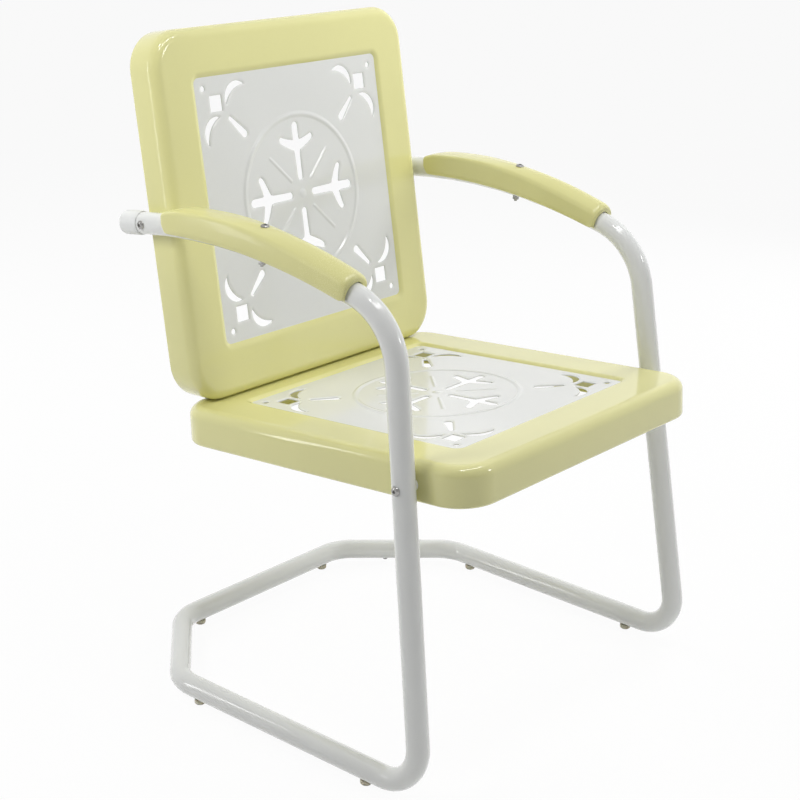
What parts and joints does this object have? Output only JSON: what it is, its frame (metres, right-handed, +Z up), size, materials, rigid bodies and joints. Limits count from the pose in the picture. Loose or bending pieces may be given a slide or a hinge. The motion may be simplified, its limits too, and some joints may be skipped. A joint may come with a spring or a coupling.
{
  "type": "lawn chair",
  "caption": "Retro metal spring lawn chair with square stamped seat and back, pierced panels and a bent-tube cantilever frame with armrests.",
  "frame": {"origin": "on the floor, under the middle of the chair", "axes": "+X to the sitter's left, +Y to the rear, +Z up; the sitter faces -Y"},
  "size_m": [0.6004, 0.581, 0.858],
  "materials": {
    "yellow_paint": "pastel yellow, gloss",
    "white_paint": "white, gloss",
    "armrest_plastic": "pastel yellow, gloss, moulded",
    "white_plastic": "white, satin",
    "glide_plastic": "natural, slightly translucent",
    "zinc_steel": "bright plated"
  },
  "bodies": {
    "base": {"rear_cross_tube": "white_paint", "left_runner_tube": "white_paint", "left_front_glide": "glide_plastic", "left_rear_glide": "glide_plastic", "left_cross_glide": "glide_plastic", "left_joint_screw": "zinc_steel", "right_runner_tube": "white_paint", "right_front_glide": "glide_plastic", "right_rear_glide": "glide_plastic", "right_cross_glide": "glide_plastic", "right_joint_screw": "zinc_steel"},
    "upper": {"seat_pan": "yellow_paint", "seat_panel": "white_paint", "back_pan": "yellow_paint", "back_panel": "white_paint", "left_arm_leg_tube": "white_paint", "left_arm_end_cap": "white_plastic", "left_armrest": "armrest_plastic", "left_armrest_screw": "zinc_steel", "left_armrest_nut": "zinc_steel", "left_seat_spacer": "white_plastic", "left_back_spacer": "white_plastic", "left_seat_bolt": "zinc_steel", "left_seat_washer": "zinc_steel", "left_seat_nut": "zinc_steel", "left_back_bolt": "zinc_steel", "left_back_washer": "zinc_steel", "left_back_nut": "zinc_steel", "left_tie_bolt": "zinc_steel", "left_tie_nut": "zinc_steel", "left_tie_spacer": "white_plastic", "right_arm_leg_tube": "white_paint", "right_arm_end_cap": "white_plastic", "right_armrest": "armrest_plastic", "right_armrest_screw": "zinc_steel", "right_armrest_nut": "zinc_steel", "right_seat_spacer": "white_plastic", "right_back_spacer": "white_plastic", "right_seat_bolt": "zinc_steel", "right_seat_washer": "zinc_steel", "right_seat_nut": "zinc_steel", "right_back_bolt": "zinc_steel", "right_back_washer": "zinc_steel", "right_back_nut": "zinc_steel", "right_tie_bolt": "zinc_steel", "right_tie_nut": "zinc_steel", "right_tie_spacer": "white_plastic"}
  },
  "joints": [
    {"name": "spring_bounce", "type": "hinge", "parent": "base", "child": "upper", "pos_m": [0, -0.2007, 0.0356], "axis": [-1, 0, 0], "range_deg": [-1, 4], "stiffness_Nm_per_rad": 2600, "springref_deg": -0.39}
  ]
}
